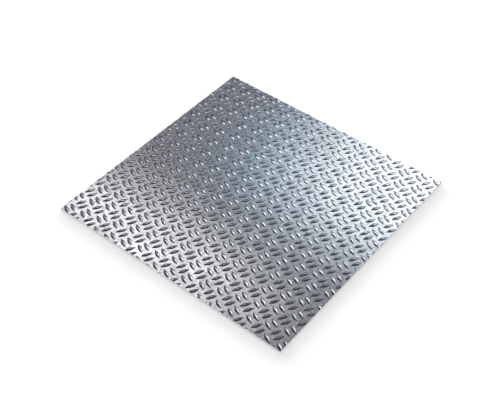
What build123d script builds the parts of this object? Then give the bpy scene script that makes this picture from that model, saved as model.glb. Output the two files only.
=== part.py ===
from build123d import *
import math
import os

# Sheet: a square cut from a larger rolled sheet, lying flat with its pattern upwards.
# The origin is at the middle of the underside.
sheet_length = 500.0
sheet_width = 500.0
web_thickness = 2.5

# Raised bar: a pointed oval whose flanks slope in from the foot to a narrow flat crown
bar_length = 20.5
bar_width = 7.0
bar_height = 1.5
crown_length = 16.0
crown_width = 2.6

# Pattern: square cells that each hold two bars side by side, turned by a quarter from one
# cell to the next. The sheet was cut at a slant to the cells, so its edges run through bars.
cell_side = 23.55
bar_spacing = 11.75
grid_angle = 61.0
first_cell_x = -7.2
first_cell_y = -16.9


def lens_outline(length, width, height):
    """Pointed oval along X: two arcs that meet at each end."""
    left, right = (-length / 2, 0, height), (length / 2, 0, height)
    near = ThreePointArc(left, (0, -width / 2, height), right)
    far = ThreePointArc(right, (0, width / 2, height), left)
    return Wire([near, far])


def raised_bar():
    """One whole bar along X, with its foot at the level of the web's top face."""
    foot = lens_outline(bar_length, bar_width, web_thickness)
    crown = lens_outline(crown_length, crown_width, web_thickness + bar_height)
    return Solid.make_loft([foot, crown], ruled=True)


def sheet_block(height):
    """Block as long and wide as the sheet, standing on the plane of its underside."""
    corner = Location((-sheet_length / 2, -sheet_width / 2, 0))
    return Solid.make_box(sheet_length, sheet_width, height).moved(corner)


def pair_places():
    """Where the two bars of one cell stand, for every cell that may reach the sheet."""
    along = Vector(1, 0, 0).rotate(Axis.Z, grid_angle)
    across = along.rotate(Axis.Z, 90)
    first = Vector(first_cell_x, first_cell_y, 0)
    reach = (math.hypot(sheet_length, sheet_width) + bar_length) / 2 + first.length
    count = math.ceil(reach / cell_side)
    for row in range(-count, count + 1):
        for column in range(-count, count + 1):
            centre = first + along * (column * cell_side) + across * (row * cell_side)
            turned = (row + column) % 2
            step = (along if turned else across) * (bar_spacing / 2)
            for place in (centre - step, centre + step):
                yield place, grid_angle + 90 * turned


def overlap_with_edges(place):
    """How far a bar's reach goes past the nearest edge; negative for a bar well inside."""
    past_length = abs(place.X) - sheet_length / 2
    past_width = abs(place.Y) - sheet_width / 2
    return max(past_length, past_width) + bar_length / 2


def rolled_bars():
    """Every bar on the sheet, with those at the edges cut off flush with them."""
    bar = raised_bar()
    room = sheet_block(web_thickness + bar_height)
    bars = []
    for place, angle in pair_places():
        overlap = overlap_with_edges(place)
        if overlap >= bar_length:
            continue
        placed = bar.moved(Location(tuple(place), (0, 0, angle)))
        if overlap < 0:
            bars.append(placed)
        elif trimmed := placed & room:
            bars += trimmed.solids()
    return bars


def tread_plate():
    """Web and bars as the one piece of metal that they are."""
    bars = rolled_bars()
    print("bars and parts of bars:", len(bars))
    return sheet_block(web_thickness).fuse(*bars, glue=True)


os.makedirs("parts", exist_ok=True)
export_step(tread_plate(), "parts/tread_plate.step")
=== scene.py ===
# %% [markdown]
# Aluminium tread plate
# The object is one square of rolled aluminium sheet with raised bars on its top face. Its sizes
# were settled in a construction model, which is loaded here as a fixed frame, so that the looks
# can't drift from the sizes. Everything below is in metres and in that frame: X and Y run along
# the cut edges, Z points up, and the origin is the middle of the smooth underside.

# %% Load the frame
import math

import bmesh
import bpy
import numpy as np
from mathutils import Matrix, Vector
from mathutils.geometry import delaunay_2d_cdt


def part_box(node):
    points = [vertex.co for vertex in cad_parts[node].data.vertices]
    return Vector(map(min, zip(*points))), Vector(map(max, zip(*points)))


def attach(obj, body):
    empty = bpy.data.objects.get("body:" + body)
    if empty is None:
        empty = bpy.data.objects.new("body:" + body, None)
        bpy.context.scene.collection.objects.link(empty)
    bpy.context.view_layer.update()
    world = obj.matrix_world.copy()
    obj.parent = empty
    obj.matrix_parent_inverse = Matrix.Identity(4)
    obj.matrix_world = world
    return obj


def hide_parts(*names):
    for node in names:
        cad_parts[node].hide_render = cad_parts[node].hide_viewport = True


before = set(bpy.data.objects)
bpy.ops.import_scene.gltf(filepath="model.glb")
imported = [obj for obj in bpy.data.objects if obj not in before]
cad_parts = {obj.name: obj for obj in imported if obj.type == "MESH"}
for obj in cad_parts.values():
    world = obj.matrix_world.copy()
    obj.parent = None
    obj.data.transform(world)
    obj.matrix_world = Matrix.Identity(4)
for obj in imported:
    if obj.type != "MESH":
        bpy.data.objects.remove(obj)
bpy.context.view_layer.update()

# %% [markdown]
# Sizes of the sheet and of its pattern
# The outline and the full thickness are read from the frame. The pattern's own sizes can't be
# read from a box, so they are written here once more, as the construction has them: pairs of
# bars in square cells, with the cells at a slant to the cut edges.

# %% Sizes
MM = 0.001
half_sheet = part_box("tread_plate")[1]
bar_height = 1.5 * MM
web_top = half_sheet.z - bar_height
bar_length = 20.5 * MM
bar_width = 7.0 * MM
bar_spacing = 11.75 * MM
cell_side = 23.55 * MM
grid_angle = math.radians(61)
first_cell = Vector((-7.2 * MM, -16.9 * MM))
print("web", round(web_top / MM, 2), "mm thick, with bars", bar_height / MM, "mm higher")

# %% [markdown]
# The swell of one bar
# A roll with pointed hollows presses the bars up out of the hot sheet. So a bar is a pointed
# oval with sloping flanks and a soft ridge, and a small fillet leads from its foot into the web.
# A lofted solid would have hard creases there, and a displaced grid would need far more faces.
# Level lines suit it better: each ring of points lies at one height of the bar, and the rings
# shrink towards the ridge. Height falls as a power of the ring's width. A low power gives
# straight flanks that meet in a sharp ridge, and a high power gives a round back. The two bars
# of a pair aren't pressed quite alike, so one of them gets each.

# %% Level lines of a bar
arc_steps = 8
fillet_reach_share = 1.10
fillet_top_share = 0.85
ring_shares = (fillet_reach_share, 0.98, fillet_top_share, 0.62, 0.33)
ridge_length_share = 0.1
sharp_power = 1.55
round_power = 2.1


def swell(share, power):
    """Height of the level line of that width, as a share of the bar's height."""
    fillet = fillet_reach_share - fillet_top_share
    flank = fillet_top_share ** power
    bend = flank * power / fillet_top_share * fillet / 2
    if share <= fillet_top_share:
        return 1 - share ** power / (flank + bend)
    return bend / (flank + bend) * ((fillet_reach_share - share) / fillet) ** 2


def level_line(share, power):
    """One ring of a bar along X: from its right tip over the far side, and back on the near."""
    half_long = bar_length / 2 * (ridge_length_share + (1 - ridge_length_share) * share)
    half_wide = bar_width / 2 * share
    height = web_top + bar_height * swell(share, power)
    ring = []
    for step in range(2 * arc_steps):
        along = math.cos(math.pi * step / arc_steps)
        side = half_wide if step < arc_steps else -half_wide
        ring.append((half_long * along, side * (1 - along * along), height))
    return ring


for power in (sharp_power, round_power):
    heights = [round(bar_height * swell(share, power) / MM, 2) for share in ring_shares]
    print("level lines for power", power, "in mm:", heights)

# %% [markdown]
# One cell of the pattern
# The pattern repeats one square cell with two bars side by side. The flat web round them is cut
# into triangles by a constrained Delaunay routine, which keeps the foot rings as they are, so
# bars and web share their points. A triangle whose corners all lie on one foot ring would be
# under a bar, and is left out. The cell's border has few points, spaced alike on every side, so
# that each cell fits its neighbours, turned or not.

# %% Mesh of one cell
border_steps = 2
same_place = 1e-9


def bar_rings(offset, power):
    """Points and quads of one bar, set off from the cell's middle, with its foot ring first."""
    rings = [level_line(share, power) for share in ring_shares]
    points = [(x, y + offset, z) for ring in rings for x, y, z in ring]
    around = 2 * arc_steps
    ridge = len(points)
    ridge_half = level_line(0.0, power)[: arc_steps + 1]
    points += [(x, offset, web_top + bar_height) for x, _, _ in ridge_half]
    quads = []
    for ring in range(len(rings)):
        for step in range(around):
            after = (step + 1) % around
            outer = (ring * around + step, ring * around + after)
            if ring + 1 < len(rings):
                inner = (outer[1] + around, outer[0] + around)
            else:
                inner = tuple(ridge + min(i, around - i) for i in (after, step))
            quads.append(outer + inner)
    return points, quads


def cell_border():
    """Points round the cell's square, spaced alike on every side, so that cells can be welded."""
    half = cell_side / 2
    corners = [Vector(c) for c in ((half, half), (-half, half), (-half, -half), (half, -half))]
    ends = corners[1:] + corners[:1]
    return [a.lerp(b, k / border_steps) for a, b in zip(corners, ends) for k in range(border_steps)]


def cell_mesh():
    """Points and faces of a whole cell, with its bars along X."""
    points, faces, feet = [], [], []
    for offset, power in ((-bar_spacing / 2, sharp_power), (bar_spacing / 2, round_power)):
        bar_points, bar_quads = bar_rings(offset, power)
        start = len(points)
        feet.append(list(range(start, start + 2 * arc_steps)))
        faces += [tuple(start + i for i in quad) for quad in bar_quads]
        points += bar_points
    border = list(range(len(points), len(points) + 4 * border_steps))
    points += [(p.x, p.y, web_top) for p in cell_border()]
    web = sum(feet, []) + border
    edges = []
    for loop in feet + [border]:
        edges += [(web.index(a), web.index(b)) for a, b in zip(loop, loop[1:] + loop[:1])]
    flat = [Vector(points[i][:2]) for i in web]
    made = delaunay_2d_cdt(flat, edges, [], 0, same_place, True)
    for triangle in made[2]:
        corners = [web[made[3][i][0]] for i in triangle]
        if not any(set(corners) <= set(foot) for foot in feet):
            faces.append(tuple(corners))
    return np.array(points), faces


cell_points, cell_faces = cell_mesh()
print("one cell:", len(cell_points), "points and", len(cell_faces), "faces")

# %% [markdown]
# Rolling the pattern
# Every other cell is turned by a quarter, as on a chessboard. An array modifier can't turn its
# copies about their own middles, so numpy lays the cells, over a little more than the sheet, and
# their borders are welded into one skin.

# %% Lay and weld the cells
weld_reach = 0.001 * MM


def laid_cells():
    """All cells that may reach the sheet, as one table of points and one list of faces."""
    along = Vector((math.cos(grid_angle), math.sin(grid_angle)))
    across = Vector((-along.y, along.x))
    reach = Vector(half_sheet[:2]).length + first_cell.length + cell_side
    count = math.ceil(reach / cell_side)
    x, y, z = cell_points.T
    points, faces = [], []
    for row in range(-count, count + 1):
        for column in range(-count, count + 1):
            centre = first_cell + along * (column * cell_side) + across * (row * cell_side)
            if max(abs(centre.x) - half_sheet.x, abs(centre.y) - half_sheet.y) > cell_side:
                continue
            a, b = (-across, along) if (row + column) % 2 else (along, across)
            start = len(points) * len(cell_points)
            points.append(np.c_[centre.x + a.x * x + b.x * y, centre.y + a.y * x + b.y * y, z])
            faces += [tuple(start + i for i in face) for face in cell_faces]
    return np.concatenate(points), faces


rolled_points, rolled_faces = laid_cells()
draft = bpy.data.meshes.new("rolled_blank")
draft.from_pydata(rolled_points.tolist(), [], rolled_faces)
rolled = bmesh.new()
rolled.from_mesh(draft)
bpy.data.meshes.remove(draft)
rim = [v for v in rolled.verts if v.is_boundary]
bmesh.ops.remove_doubles(rolled, verts=rim, dist=weld_reach)
print("rolled blank:", len(rolled.verts), "points and", len(rolled.faces), "faces")

# %% [markdown]
# Shearing to size
# The square is sheared from the rolled sheet at a slant to the cells, so its edges run through
# bars as they please. Four upright planes cut the skin. Shears also draw the top edge down a
# little before the metal parts, so a second cut just inside each edge gives that roll-over its
# own strip of faces, and the outermost points are then lowered.

# %% Cut the four edges
edge_roll = 0.18 * MM
edge_drop = 0.18 * MM
cut_reach = 1e-7


def shear(axis, side, inset, clear):
    """Cuts the skin with an upright plane, and clears what lies outside it if asked."""
    normal = Vector((side, 0, 0)) if axis == 0 else Vector((0, side, 0))
    place = normal * (half_sheet[axis] - inset)
    skin = rolled.verts[:] + rolled.edges[:] + rolled.faces[:]
    plane = {"plane_co": place, "plane_no": normal}
    bmesh.ops.bisect_plane(rolled, geom=skin, dist=cut_reach, clear_outer=clear, **plane)


four_edges = [(axis, side) for axis in (0, 1) for side in (-1, 1)]
for axis, side in four_edges:
    shear(axis, side, 0.0, True)
for axis, side in four_edges:
    shear(axis, side, edge_roll, False)
top_edge = [e for e in rolled.edges if e.is_boundary]
for vertex in {v for e in top_edge for v in e.verts}:
    vertex.co.z -= edge_drop
print("the cut edge has", len(top_edge), "segments")

# %% [markdown]
# Cut faces and underside
# The outline is pulled down to the floor for the cut faces, with a small break at the bottom.
# The smooth underside then closes the mesh. It gets a coarse grid of inner points, because long
# slivers from edge to edge would shade badly.

# %% Close the sheet
bottom_break = 0.12 * MM
bottom_grid = 20


def pull_down(edges, height, inset):
    """Extrudes the open edges to a lower level, with the outline drawn in by the inset."""
    made = bmesh.ops.extrude_edge_only(rolled, edges=edges)["geom"]
    for vertex in (g for g in made if isinstance(g, bmesh.types.BMVert)):
        vertex.co.x *= 1 - inset / half_sheet.x
        vertex.co.y *= 1 - inset / half_sheet.y
        vertex.co.z = height
    return [g for g in made if isinstance(g, bmesh.types.BMEdge)]


lower_edge = pull_down(top_edge, bottom_break, 0.0)
bottom_edge = pull_down(lower_edge, 0.0, bottom_break)
bottom = list(dict.fromkeys(v for e in bottom_edge for v in e.verts))
number = {v: i for i, v in enumerate(bottom)}
edges = [tuple(number[v] for v in e.verts) for e in bottom_edge]
grid_shares = [2 * k / bottom_grid - 1 for k in range(1, bottom_grid)]
for a in grid_shares:
    bottom += [rolled.verts.new((half_sheet.x * a, half_sheet.y * b, 0)) for b in grid_shares]
made = delaunay_2d_cdt([v.co.xy for v in bottom], edges, [], 0, same_place, True)
for triangle in made[2]:
    rolled.faces.new([bottom[made[3][i][0]] for i in triangle])
bmesh.ops.recalc_face_normals(rolled, faces=rolled.faces[:])
print("open edges left:", sum(not e.is_manifold for e in rolled.edges))
print("volume:", round(rolled.calc_volume() / MM ** 3), "cubic mm")
print("triangles:", sum(len(f.verts) - 2 for f in rolled.faces))

# %% [markdown]
# The sheet as an object
# Swells have to shade smoothly, and the cut edges have to stay crisp, so every edge of more than
# 40 degrees is marked sharp. The web is flat, but its long triangles would take a tilt from the
# fillets beside them. Weighted normals let the large faces decide, so the web mirrors as a plane.

# %% Tread sheet
crease_angle = math.radians(40)

sheet_mesh = bpy.data.meshes.new("tread_sheet")
rolled.to_mesh(sheet_mesh)
rolled.free()
sheet_mesh.shade_smooth()
sheet_mesh.set_sharp_from_angle(angle=crease_angle)
tread_sheet = bpy.data.objects.new("tread_sheet", sheet_mesh)
bpy.context.scene.collection.objects.link(tread_sheet)
flat_web = tread_sheet.modifiers.new("flat_web", "WEIGHTED_NORMAL")
flat_web.keep_sharp = True
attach(tread_sheet, "root")
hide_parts("tread_plate")
print("tread_sheet:", len(sheet_mesh.polygons), "faces")

# %% [markdown]
# Shader maths
# A finish is a tree of nodes, and long trees are hard to read as calls. So one small class wraps
# a node's output, and its operators add Math nodes: a * b + 1 builds the same nodes as six calls.
# Every other node comes from one method that takes the node's type, its settings, and the values
# or links of its sockets.

# %% Sockets and finishes
class Socket:
    """A node's output that can be added, multiplied and so on, as a number is."""

    def __init__(self, finish, link):
        self.finish, self.link = finish, link

    def maths(self, operation, *values):
        return self.finish.node("ShaderNodeMath", {"operation": operation}, dict(enumerate(values)))

    def __add__(self, other):
        return self.maths("ADD", self, other)

    def __sub__(self, other):
        return self.maths("SUBTRACT", self, other)

    def __rsub__(self, other):
        return self.maths("SUBTRACT", other, self)

    def __mul__(self, other):
        return self.maths("MULTIPLY", self, other)

    def __truediv__(self, other):
        return self.maths("DIVIDE", self, other)

    def __rtruediv__(self, other):
        return self.maths("DIVIDE", other, self)

    __radd__ = __add__
    __rmul__ = __mul__


class Finish:
    """The node tree of a material or a world."""

    def __init__(self, owner):
        owner.use_nodes = True
        self.tree = owner.node_tree
        self.tree.nodes.clear()

    def node(self, kind, settings=None, sockets=None, output=0):
        """Adds a node and returns one of its outputs, or several if several are named."""
        made = self.tree.nodes.new(kind)
        for name, value in (settings or {}).items():
            setattr(made, name, value)
        for name, value in (sockets or {}).items():
            if isinstance(value, Socket):
                self.tree.links.new(value.link, made.inputs[name])
            else:
                made.inputs[name].default_value = value
        if isinstance(output, tuple):
            return [Socket(self, made.outputs[name]) for name in output]
        return Socket(self, made.outputs[output]) if len(made.outputs) else made


print("one Math node is made by each of + - * / on a socket")

# %% [markdown]
# Four helpers for finishes
# A smooth step turns a place or a height into a mask. A tint lays one colour on another through
# a mask. A noise is told how large its clouds are on the real sheet, in millimetres along X, Y
# and Z, because rolled grain is much longer than it is wide. And a new finish starts with the
# places on its object, split into axes.

# %% Masks, tints and noise
def ease(value, start, end, low=0.0, high=1.0):
    """A smooth step from low to high while the value goes from start to end."""
    sockets = {"Value": value, "From Min": start, "From Max": end, "To Min": low, "To Max": high}
    return value.finish.node("ShaderNodeMapRange", {"interpolation_type": "SMOOTHSTEP"}, sockets)


def tint(mask, under, over):
    """The colour under, with the colour over laid on it where the mask is 1."""
    sockets = {0: mask, 6: under, 7: over}
    return mask.finish.node("ShaderNodeMix", {"data_type": "RGBA"}, sockets, output=2)


def noise(place, size, turn=0.0, shift=0.0, detail=2.0):
    """Soft noise with clouds of that size in millimetres, turned about Z and moved by the shift."""
    scale = [extent * MM for extent in size]
    sockets = {"Vector": place, "Location": (shift, shift, 0), "Scale": scale}
    sockets["Rotation"] = (0, 0, turn)
    spot = place.finish.node("ShaderNodeMapping", {"vector_type": "TEXTURE"}, sockets)
    sockets = {"Vector": spot, "Scale": 1.0, "Detail": detail}
    return place.finish.node("ShaderNodeTexNoise", {}, sockets)


def started(owner):
    """A cleared finish, the places on its object, and those places split into X, Y and Z."""
    finish = Finish(owner)
    place = finish.node("ShaderNodeTexCoord", output="Object")
    axes = finish.node("ShaderNodeSeparateXYZ", sockets={"Vector": place}, output=("X", "Y", "Z"))
    return finish, place, axes


print("helpers for finishes: ease, tint, noise and started")

# %% [markdown]
# Rolled aluminium: where it changes
# Mill finish isn't even. Ridges are rubbed bright, and the sheared faces are bare metal. A dark
# painted shade stands round each bar's foot, in the crease between bar and web, and climbs highest
# on the flanks that face against the rolling direction, so one side of each bar is painted darker.
# The swell itself tells these places apart, so the masks come from the height above the web, from
# the way that the surface leans, and from the distance to the cut faces. Masks painted into an
# image would need a layout of the surface, and would blur.

# %% Masks of the aluminium
rolling_angle = grid_angle + math.radians(45)
bar_levels = (0.05, 0.4)
ridge_levels = (0.6, 0.95)
# The painted shade round the bars' feet: which flanks get more of it, and its heights as shares of
# the bar.
shaded_side_leans = (-0.05, 0.2)
shade_foot = 0.012
shade_fades = 0.12
shade_top = 0.55
shade_climb = 0.15
shade_other_side = 0.8
cut_skin = 0.02 * MM

rolled_aluminium = bpy.data.materials.new("rolled_aluminium")
mill, place, (x, y, z) = started(rolled_aluminium)
rise = (z - web_top) / bar_height
bar = ease(rise, *bar_levels)
ridge = ease(rise, *ridge_levels)

# Painted shade: full at each bar's foot, fading up the flank, and higher and darker on the flanks
# that face against the rolling direction.
against_rolling = (-math.cos(rolling_angle), -math.sin(rolling_angle), 0)
leaning = {0: mill.node("ShaderNodeTexCoord", output="Normal"), 1: against_rolling}
lean = mill.node("ShaderNodeVectorMath", {"operation": "DOT_PRODUCT"}, leaning, output="Value")
shaded_side = ease(lean, *shaded_side_leans)
painted_shade = ease(rise, 0.0, shade_foot)
painted_shade = painted_shade * ease(rise - shaded_side * shade_climb, shade_fades, shade_top, 1.0, 0.0)
painted_shade = painted_shade * (shade_other_side + (1 - shade_other_side) * shaded_side)

from_middle_x = x.maths("ABSOLUTE", x)
from_middle_y = y.maths("ABSOLUTE", y)
outermost = x.maths("MAXIMUM", from_middle_x, from_middle_y)
cut_face = x.maths("GREATER_THAN", outermost, half_sheet.x - cut_skin)
print("the film climbs to", round(bar_height * (shade_top + shade_climb) / MM, 2), "mm above the web")

# %% [markdown]
# Rolled aluminium: its grain
# The rolls leave long fine streaks in the rolling direction, which lies between the two ways
# that the bars point. The skin is mottled and slightly wavy, as an orange peel is, with faint
# clouds and smudges, and the ridges are rubbed in patches. A picture of real grain would repeat
# over the sheet and blur close up. So each of these is noise of its own size and stretch, given in
# millimetres, and a smooth step with two limits turns the noise into a mask.

# %% Grain of the aluminium
streak_size = (60, 0.9, 0.9)
mottle_size = (4.6, 4.6, 4.6)
cloud_size = (70, 45, 45)
smudge_size = (30, 30, 30)
peel_size = (2.6, 2.6, 2.6)
wave_size = (7, 7, 7)
rub_size = (4, 4, 4)

streaks = ease(noise(place, streak_size, rolling_angle), 0.3, 0.7)
mottle = ease(noise(place, mottle_size, 0.0, 0.9, 3.0), 0.36, 0.72)
clouds = ease(noise(place, cloud_size, rolling_angle, 0.3), 0.35, 0.65)
smudges = ease(noise(place, smudge_size, 0.0, 0.7, 4.0), 0.52, 0.7)
peel = noise(place, peel_size, detail=1.0)
waves = noise(place, wave_size, 0.0, 1.1, 0.0)
rubbed = ridge * ease(noise(place, rub_size, 0.0, 1.9), 0.4, 0.6)
print("streaks", streak_size[0], "mm long, mottle", mottle_size[0], "mm across")

# %% [markdown]
# Rolled aluminium: hairlines and torn edges
# The sheet has picked up two sets of hairline scratches in handling. Shears first cut a smooth
# band and then tear the rest, so the lower part of the cut faces is rough, with upright marks, and
# the line where the tear starts is ragged. Real grooves would need far finer faces than the mesh
# has, so both are noise that is stretched into lines. The scratches are made tall, so that they
# run on over a bar.

# %% Hairlines and torn edges of the aluminium
scuff_size = (70, 0.35, 40)
scratch_size = (40, 0.3, 40)
tear_size = (0.5, 0.5, 4)
tear_middle = 1.5 * MM
tear_ragged = 0.1 * MM
tear_swing = 5 * tear_ragged

scuffs = ease(noise(place, scuff_size, rolling_angle + 0.5, 1.3, 0.0), 0.7, 0.78)
scratches = ease(noise(place, scratch_size, rolling_angle - 0.9, 1.7, 0.0), 0.72, 0.8)
hairlines = x.maths("MAXIMUM", scuffs, scratches)

torn = noise(place, tear_size, 0.0, 2.3)
tear_height = z + torn * tear_swing
fracture = ease(tear_height, tear_middle - tear_ragged, tear_middle + tear_ragged, 1.0, 0.0)
torn_band = tear_middle - tear_swing / 2
print("the shears tore the lowest", round(torn_band / MM, 2), "mm of the cut faces")

# %% [markdown]
# Rolled aluminium: colour
# A metal's colour is the tint of its mirror. It goes from clean to dull with clouds and streaks
# and darker still with the mottle. The bars are a little darker than the web, and the painted
# shade at their feet is nearly black, while ridges, scratches and cut faces are bright. The tints
# are laid on one another in that order, each with its own cover, so that the later one hides the
# earlier.

# %% Colour of the aluminium
clean_metal = (0.70, 0.71, 0.725, 1)
dull_metal = (0.60, 0.61, 0.63, 1)
mottled_metal = (0.37, 0.38, 0.40, 1)
bar_metal = (0.58, 0.59, 0.61, 1)
rubbed_metal = (0.76, 0.77, 0.78, 1)
# the colour of the painted shade at the bars' feet
shaded_metal = (0.11, 0.118, 0.13, 1)
sheared_metal = (0.95, 0.95, 0.945, 1)
torn_metal = (0.58, 0.58, 0.59, 1)
cloud_cover = 0.4
streak_cover = 0.4
mottle_cover = 0.85
bar_cover = 0.6
rubbed_cover = 0.5
shade_cover = 0.9
hairline_cover = 0.4

colour = tint(clouds * cloud_cover + streaks * streak_cover, clean_metal, dull_metal)
colour = tint(mottle * mottle_cover, colour, mottled_metal)
colour = tint(bar * bar_cover, colour, bar_metal)
colour = tint(rubbed * rubbed_cover, colour, rubbed_metal)
# painted shade at the bars' feet, laid nearly black
colour = tint(painted_shade * shade_cover, colour, shaded_metal)
colour = tint(hairlines * hairline_cover, colour, rubbed_metal)
cut_colour = tint(fracture * ease(torn, 0.4, 0.7), sheared_metal, torn_metal)
colour = tint(cut_face, colour, cut_colour)
print("tints from clean", clean_metal[:3], "to film", shaded_metal[:3])

# %% [markdown]
# Rolled aluminium: roughness
# Rolled metal is a blurred mirror. Clouds, streaks and smudges blur it a little more, and so does
# the mask of the painted shade at the bars' feet, while rubbed ridges are smoother. The torn band
# of the cut faces is the roughest place.
# Each mask adds its own share, which is simpler to tune than a ramp for all of them.

# %% Roughness of the aluminium
mill_roughness = 0.17
cloud_roughness = 0.05
streak_roughness = 0.06
smudge_roughness = 0.07
shade_roughness = 0.12
rubbed_smoothness = 0.04
sheared_roughness = 0.02
torn_roughness = 0.2

roughness = mill_roughness + clouds * cloud_roughness + streaks * streak_roughness
roughness = roughness + smudges * smudge_roughness + painted_shade * shade_roughness
roughness = roughness - rubbed * rubbed_smoothness
roughness = roughness + cut_face * (sheared_roughness + torn_roughness * fracture)
print("roughness of the clean web:", mill_roughness)

# %% [markdown]
# Rolled aluminium: fine relief
# Bare metal shows even a hundredth of a millimetre. Faces that fine would number millions, so
# this relief is bumped instead of meshed. It goes through one bump node whose height is in
# metres, so that each kind of mark can be given its real depth.

# %% Fine relief and shader of the aluminium
peel_depth = 0.022 * MM
wave_depth = 0.07 * MM
streak_depth = 0.0015 * MM
hairline_depth = 0.002 * MM
sheared_depth = 0.01 * MM
torn_depth = 0.04 * MM

relief = (peel - 0.5) * peel_depth + (waves - 0.5) * wave_depth
relief = relief + (streaks - 0.5) * streak_depth - hairlines * hairline_depth
relief = relief + cut_face * torn * (sheared_depth + fracture * torn_depth)
fine_relief = mill.node("ShaderNodeBump", {}, {"Strength": 1.0, "Distance": 1.0, "Height": relief})

surface = {"Base Color": colour, "Metallic": 1.0, "Roughness": roughness, "Normal": fine_relief}
shader = mill.node("ShaderNodeBsdfPrincipled", sockets=surface)
mill.node("ShaderNodeOutputMaterial", sockets={"Surface": shader})
sheet_mesh.materials.append(rolled_aluminium)
print("aluminium:", len(rolled_aluminium.node_tree.nodes), "nodes")

# %% [markdown]
# Floor
# The sheet lies on a plain pale floor that has to come out white and still show the soft shadow.
# The lamps bring the bare floor close to white, and the small rest comes from a glow that only
# the camera and mirror-like reflections see, so the metal gets no more light from it.

# %% White floor
floor_half = 3.0
floor_depth = 0.1 * MM
floor_glow = 0.10
floor_white = (0.85, 0.85, 0.85, 1)


def level_square(name, x0, x1, y0, y1, height):
    """A mesh of one level face between those places."""
    corners = [(x0, y0, height), (x1, y0, height), (x1, y1, height), (x0, y1, height)]
    mesh = bpy.data.meshes.new(name)
    mesh.from_pydata(corners, [], [(0, 1, 2, 3)])
    return mesh


def seen_directly(finish):
    """1 for rays from the camera, from mirrors and through glass, and 0 for scattered ones."""
    rays = ("Is Camera Ray", "Is Glossy Ray", "Is Transmission Ray")
    return sum(finish.node("ShaderNodeLightPath", output=rays))


floor_mesh = level_square("floor", -floor_half, floor_half, -floor_half, floor_half, -floor_depth)
floor = bpy.data.objects.new("floor", floor_mesh)
bpy.context.scene.collection.objects.link(floor)

floor_paper = bpy.data.materials.new("floor_paper")
paper = Finish(floor_paper)
matt = paper.node("ShaderNodeBsdfDiffuse", sockets={"Color": floor_white})
glow = paper.node("ShaderNodeEmission", sockets={"Strength": floor_glow * seen_directly(paper)})
both = paper.node("ShaderNodeAddShader", sockets={0: matt, 1: glow})
paper.node("ShaderNodeOutputMaterial", sockets={"Surface": both})
floor_mesh.materials.append(floor_paper)
print("floor:", 2 * floor_half, "m wide,", round(floor_depth / MM, 2), "mm below the sheet")

# %% [markdown]
# Studio: what the metal mirrors
# Bare metal has no colour of its own to speak of: it looks the way its surroundings look. So the
# set is built for the reflections. A drape hangs all round, and large soft panels of light float
# over the sheet. Only reflections see them, so they cast no shadow and don't light the floor.
# A lamp of Blender's own has hard edges in a mirror. A panel with a fading mask doesn't.

# %% Stage pieces for the reflections
def hang(name, mesh, material):
    """Adds a piece of the set that only reflections see."""
    mesh.materials.append(material)
    piece = bpy.data.objects.new(name, mesh)
    bpy.context.scene.collection.objects.link(piece)
    piece.visible_camera = False
    piece.visible_diffuse = False
    piece.visible_shadow = False


print("pieces that hang are hidden from the camera, from scattered light and from shadows")

# %% [markdown]
# The drape
# The drape is dark high up, and behind the sheet it is dark down to the floor. The steep flanks
# look there, and get their dark outline from it. Round the other sides hangs a pale skirt in
# soft folds, which reaches higher on the near side. Without it the sheet would mirror nothing but
# dark cloth for anyone who looks at it from behind, and would seem black.

# %% Drape
drape_radius = 3.0
drape_colour = (0.85, 0.93, 1.05, 1)
drape_glow = 0.05
skirt_colour = (0.97, 0.98, 1.0, 1)
skirt_glow = 1.0
skirt_top = 0.34
skirt_fade = 0.16
skirt_lift = 0.35
fold_size = (1100, 1100, 1600)
fold_dark = 0.3
dome_levels = (0.25, 0.7)
dome_glow = 0.04
backward = Vector((-0.45, 0.89))
lift_ends = (-0.6, -0.1)
skirt_ends = (0.35, 0.7)

drape_cloth = bpy.data.materials.new("drape_cloth")
cloth, place, (x, y, z) = started(drape_cloth)
climb = z / drape_radius
behind = (x * backward.x + y * backward.y) / drape_radius
lift = ease(behind, *lift_ends, skirt_lift, 0.0)
skirt = ease(climb - lift, skirt_top, skirt_top + skirt_fade, 1.0, 0.0)
skirt = skirt * ease(behind, *skirt_ends, 1.0, 0.0)
folds = ease(noise(place, fold_size, 0.0, 0.4, 1.0), 0.35, 0.65, fold_dark, 1.0)
skirt = skirt * folds + ease(climb, *dome_levels, 0.0, dome_glow)
dark = cloth.node("ShaderNodeEmission", sockets={"Color": drape_colour, "Strength": drape_glow})
pale = cloth.node("ShaderNodeEmission", sockets={"Color": skirt_colour, "Strength": skirt_glow})
both = cloth.node("ShaderNodeMixShader", sockets={0: skirt, 1: dark, 2: pale})
cloth.node("ShaderNodeOutputMaterial", sockets={"Surface": both})

ball = bmesh.new()
bmesh.ops.create_icosphere(ball, subdivisions=4, radius=drape_radius)
drape_mesh = bpy.data.meshes.new("drape")
ball.to_mesh(drape_mesh)
ball.free()
hang("drape", drape_mesh, drape_cloth)
skirt_height = round(drape_radius * skirt_top, 2)
print("drape:", drape_radius, "m from the sheet, its skirt", skirt_height, "m high")

# %% [markdown]
# The light panels
# The web mirrors the left panel at the left of the picture and the back panel at its right, with
# a dim blue one and a wide haze between them. Only the ridges and the flanks that lean back find
# the far panel, which is the brightest and gives each bar its spark. The right panel lightens
# the flanks that lean to the right. Each panel has four stops along X and along Y: it is dark at
# the outer two, full between the inner two, and fades in between, so that the next one above it,
# or the drape, shows through.

# %% Light panels
panel_height = 0.6
panel_gap = 0.01
panels = []


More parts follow.
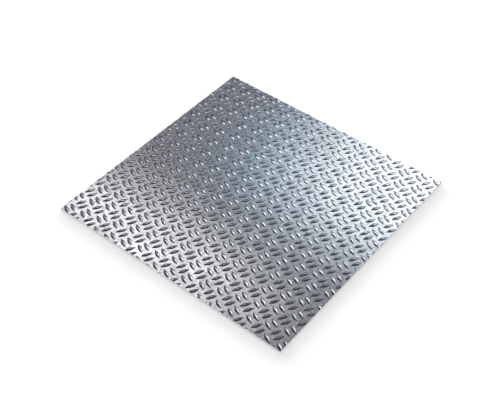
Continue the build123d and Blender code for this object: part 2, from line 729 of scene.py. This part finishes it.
def light_panel(name, x_stops, y_stops, colour, strength):
    """A level light over the sheet, with stops where it is dark, full, full and dark again."""
    material = bpy.data.materials.new(name)
    light, _, axes = started(material)
    mask = 1.0
    for along, (dark, full, still_full, dark_again) in zip(axes, (x_stops, y_stops)):
        mask = mask * ease(along, dark, full) * ease(along, still_full, dark_again, 1.0, 0.0)
    glow = light.node("ShaderNodeEmission", sockets={"Color": (*colour, 1), "Strength": strength})
    clear = light.node("ShaderNodeBsdfTransparent")
    both = light.node("ShaderNodeMixShader", sockets={0: mask, 1: clear, 2: glow})
    light.node("ShaderNodeOutputMaterial", sockets={"Surface": both})
    height = panel_height + panel_gap * len(panels)
    mesh = level_square(name, x_stops[0], x_stops[-1], y_stops[0], y_stops[-1], height)
    hang(name, mesh, material)
    panels.append(name)


panel_plan = (
    ("left_panel", (-0.86, -0.72, -0.42, 0.12), (0.00, 0.11, 0.13, 0.36), (1.0, 0.962, 0.97), 2.25),
    ("far_panel", (-0.55, -0.25, 0.15, 0.50), (0.88, 1.12, 2.20, 3.00), (0.92, 0.97, 1.0), 3.0),
    ("back_panel", (-0.55, -0.12, 0.16, 0.60), (0.40, 0.66, 0.95, 1.20), (0.92, 0.96, 1.0), 2.0),
    ("right_panel", (0.02, 0.30, 0.70, 1.10), (0.24, 0.48, 1.00, 1.50), (0.95, 0.98, 1.0), 0.95),
    ("blue_panel", (-0.65, -0.40, -0.15, 0.20), (0.42, 0.56, 0.75, 1.00), (0.39, 0.75, 1.0), 0.75),
    ("haze_panel", (-1.80, -1.00, -0.15, 0.25), (0.05, 0.30, 1.20, 2.40), (0.97, 0.953, 1.08), 0.31),
)
for name, x_stops, y_stops, panel_colour, strength in panel_plan:
    light_panel(name, x_stops, y_stops, panel_colour, strength)
print("panels from the lowest up:", ", ".join(panels))

# %% [markdown]
# World
# The world is plain and white. It lights the floor a little below full strength, and rays that
# the camera, mirrors or glass send past the drape meet it at exactly 1, which is white.

# %% World
world_level = 0.8

world = bpy.data.worlds.new("studio")
bpy.context.scene.world = world
sky = Finish(world)
light = world_level + (1 - world_level) * seen_directly(sky)
air = sky.node("ShaderNodeBackground", sockets={"Color": (1, 1, 1, 1), "Strength": light})
sky.node("ShaderNodeOutputWorld", sockets={"Surface": air})
print("the world lights the floor at", world_level)

# %% [markdown]
# Low lamps
# A sheet of 4 mm throws hardly any shadow under soft light from above. Lamps that stand low
# behind it draw its shadow out over the floor on the two near sides. A single one would show each
# cut bar as a tooth in the shadow's edge, so five of them stand in a fan and blur the teeth away.
# They are kept out of the reflections, so the metal looks the same with them or without.

# %% Low lamps
lamp_height = math.radians(5)
lamp_width = math.radians(7)
lamp_headings = [math.radians(degrees) for degrees in (-78, -60, -42, -24, -6)]
lamp_energy = 2.2

for heading in lamp_headings:
    lamp_light = bpy.data.lights.new("low_lamp", "SUN")
    lamp_light.energy = lamp_energy
    lamp_light.angle = lamp_width
    low_lamp = bpy.data.objects.new("low_lamp", lamp_light)
    low_lamp.rotation_mode = "QUATERNION"
    shine = Vector((math.cos(heading), math.sin(heading), -math.tan(lamp_height)))
    low_lamp.rotation_quaternion = shine.to_track_quat("-Z", "Y")
    low_lamp.visible_glossy = False
    bpy.context.scene.collection.objects.link(low_lamp)
shadow = half_sheet.z / math.tan(lamp_height)
print("the shadow reaches", round(shadow / MM), "mm out over the floor")

# %% [markdown]
# Camera
# The camera looks down on the sheet over its near corner. Its place and lens were worked out
# from the four corners of the sheet, as they lie in a picture of 500 by 417 pixels, and the
# frame is shifted a little so that the sheet sits where it should.

# %% Camera
image_width = 500
focal_pixels = 966.3
frame_shift = 0.06
camera_place = Vector((0.7527, -1.0117, 1.2646))
camera_aim = Vector((-0.0275, -0.0640, 0.0))

lens = bpy.data.cameras.new("camera")
lens.lens = focal_pixels / image_width * lens.sensor_width
lens.shift_x = frame_shift
camera = bpy.data.objects.new("camera", lens)
camera.location = camera_place
camera.rotation_mode = "QUATERNION"
camera.rotation_quaternion = (camera_aim - camera_place).to_track_quat("-Z", "Y")
bpy.context.scene.collection.objects.link(camera)
bpy.context.scene.camera = camera
bpy.context.scene.view_settings.view_transform = "Standard"
print("lens:", round(lens.lens, 1), "mm, camera", round(camera_place.length, 2), "m away")
